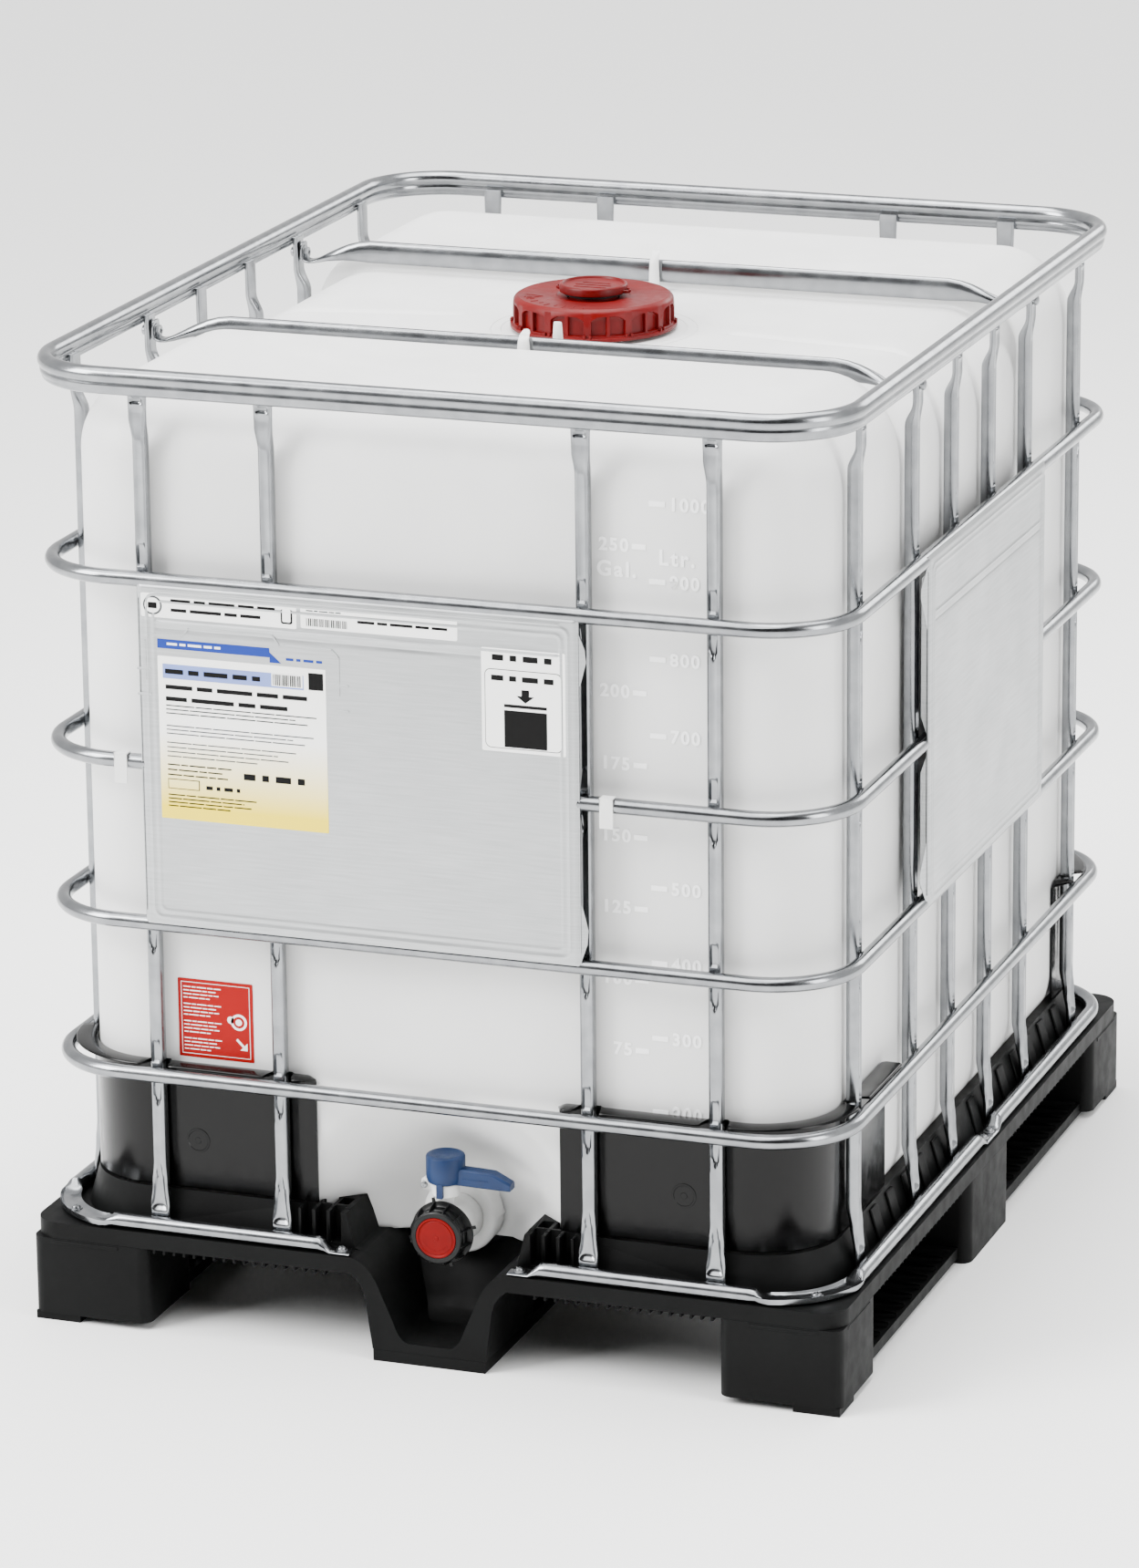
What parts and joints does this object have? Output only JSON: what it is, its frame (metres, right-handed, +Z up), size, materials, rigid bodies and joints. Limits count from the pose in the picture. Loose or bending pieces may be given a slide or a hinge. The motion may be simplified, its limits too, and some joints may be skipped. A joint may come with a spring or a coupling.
{
  "type": "intermediate bulk container",
  "caption": "Rigid intermediate bulk container: a plastic bottle in a welded tube cage on a plastic pallet, with a screw fill cap and a lever outlet valve.",
  "frame": {"origin": "on the floor under the middle of the container's box", "axes": "+Z up, +Y along the pallet's 1200 mm length away from the outlet valve, +X to the valve's right as seen from the front"},
  "size_m": [1, 1.2, 1.16],
  "materials": {
    "bottle_plastic": "natural translucent HDPE, satin",
    "cage_steel": "bright galvanised tube",
    "sheet_steel": "bright galvanised sheet, satin",
    "bolt_steel": "zinc plated",
    "pallet_plastic": "textured black HDPE",
    "guard_plastic": "smooth black HDPE",
    "cap_plastic": "fine textured red HDPE",
    "valve_plastic": "natural HDPE, satin",
    "lever_plastic": "blue moulded plastic",
    "dust_cap_plastic": "black moulded plastic",
    "disc_plastic": "red moulded plastic",
    "seal_rubber": "dark sealing rubber"
  },
  "bodies": {
    "container": {"bottle": "bottle_plastic", "bottle_top_panel": "bottle_plastic", "bottle_outlet": "bottle_plastic", "outlet_gasket": "seal_rubber", "union_nut": "valve_plastic", "valve_body": "valve_plastic", "security_screw": "bolt_steel", "pallet_deck": "pallet_plastic", "skid_left": "pallet_plastic", "skid_right": "pallet_plastic", "skid_centre": "pallet_plastic", "guard_front_left": "guard_plastic", "guard_front_right": "guard_plastic", "guard_rear_left": "guard_plastic", "guard_rear_right": "guard_plastic", "top_ring": "cage_steel", "ring_2": "cage_steel", "ring_3": "cage_steel", "ring_4": "cage_steel", "ring_5": "cage_steel", "base_tube_left": "cage_steel", "base_tube_right": "cage_steel", "base_tube_rear": "cage_steel", "upright_front_1": "cage_steel", "upright_rear_1": "cage_steel", "upright_front_2": "cage_steel", "upright_rear_2": "cage_steel", "upright_front_3": "cage_steel", "upright_rear_3": "cage_steel", "upright_front_4": "cage_steel", "upright_rear_4": "cage_steel", "upright_left_1": "cage_steel", "upright_left_2": "cage_steel", "upright_left_3": "cage_steel", "upright_left_4": "cage_steel", "upright_left_5": "cage_steel", "upright_left_6": "cage_steel", "upright_right_1": "cage_steel", "upright_right_2": "cage_steel", "upright_right_3": "cage_steel", "upright_right_4": "cage_steel", "upright_right_5": "cage_steel", "upright_right_6": "cage_steel", "cross_bar_front": "cage_steel", "cross_bar_rear": "cage_steel", "bar_bolt_front_left": "bolt_steel", "bar_bolt_front_right": "bolt_steel", "bar_bolt_rear_left": "bolt_steel", "bar_bolt_rear_right": "bolt_steel", "label_plate_front": "sheet_steel", "label_plate_side": "sheet_steel"},
    "fill_seal": {"fill_cap_gasket": "seal_rubber"},
    "fill_cap": {"fill_cap": "cap_plastic"},
    "plug_seal": {"plug_gasket": "seal_rubber"},
    "centre_plug": {"centre_plug": "cap_plastic"},
    "lever": {"lever": "lever_plastic", "valve_flap": "valve_plastic"},
    "dust_seal": {"dust_cap_seal": "seal_rubber"},
    "dust_cap": {"dust_cap": "dust_cap_plastic", "dust_cap_disc": "disc_plastic"}
  },
  "joints": [
    {"name": "fill_cap_rise", "type": "slide", "parent": "container", "child": "fill_seal", "axis": [0, 0, 1], "range_m": [0, 0.0175]},
    {"name": "fill_cap_turn", "type": "hinge", "parent": "fill_seal", "child": "fill_cap", "pos_m": [0, 0, 1.127], "axis": [0, 0, 1], "range_deg": [0, 900]},
    {"name": "plug_rise", "type": "slide", "parent": "fill_cap", "child": "plug_seal", "axis": [0, 0, 1], "range_m": [0, 0.0092]},
    {"name": "plug_turn", "type": "hinge", "parent": "plug_seal", "child": "centre_plug", "pos_m": [0, 0, 1.15], "axis": [0, 0, 1], "range_deg": [0, 1440]},
    {"name": "lever_turn", "type": "hinge", "parent": "container", "child": "lever", "pos_m": [0, -0.536, 0.2], "axis": [0, 0, -1], "range_deg": [0, 90]},
    {"name": "dust_cap_travel", "type": "slide", "parent": "container", "child": "dust_seal", "axis": [0, -1, 0], "range_m": [0, 0.015]},
    {"name": "dust_cap_turn", "type": "hinge", "parent": "dust_seal", "child": "dust_cap", "pos_m": [0, -0.56, 0.149], "axis": [0, -1, 0], "range_deg": [0, 900]}
  ],
  "couplings": [
    {"joint": "fill_cap_rise", "follows": "fill_cap_turn", "m_per_rad": 0.0011141},
    {"joint": "plug_rise", "follows": "plug_turn", "m_per_rad": 0.00036606},
    {"joint": "dust_cap_travel", "follows": "dust_cap_turn", "m_per_rad": 0.00095493}
  ]
}
